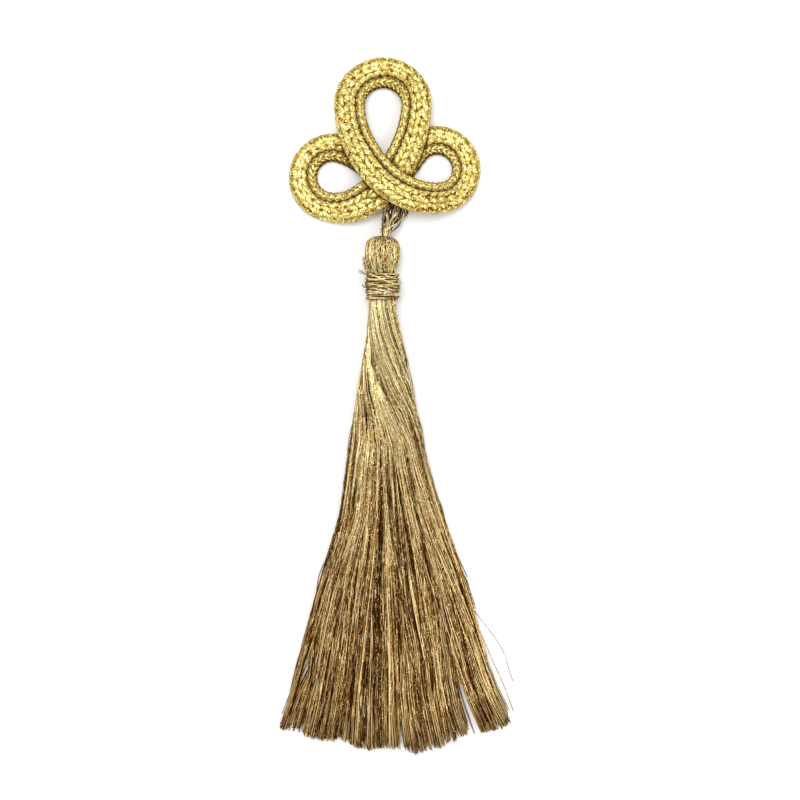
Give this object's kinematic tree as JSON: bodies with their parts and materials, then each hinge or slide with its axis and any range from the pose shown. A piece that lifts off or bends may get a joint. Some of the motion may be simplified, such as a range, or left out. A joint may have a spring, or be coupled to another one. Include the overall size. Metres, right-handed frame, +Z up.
{
  "type": "tassel",
  "caption": "Gold thread tassel with a bound neck and a fanned skirt, hung by a thread loop from a trefoil of looped flat braid.",
  "frame": {"origin": "on the surface that the tassel lies on, under the middle of its box", "axes": "+Y from the hem to the top loop of the motif, +Z up from the surface, +X to the right as seen from above"},
  "size_m": [0.0668, 0.1991, 0.0102],
  "materials": {
    "braid_gold": "metallic thread braid",
    "tassel_thread": "metallic crinkled thread",
    "binding_cord": "metallic wound cord",
    "hanger_thread": "metallic thread"
  },
  "bodies": {
    "root": {"braid_motif": "braid_gold", "hanger_loop": "hanger_thread", "tassel": "tassel_thread", "neck_binding": "binding_cord"}
  },
  "joints": []
}
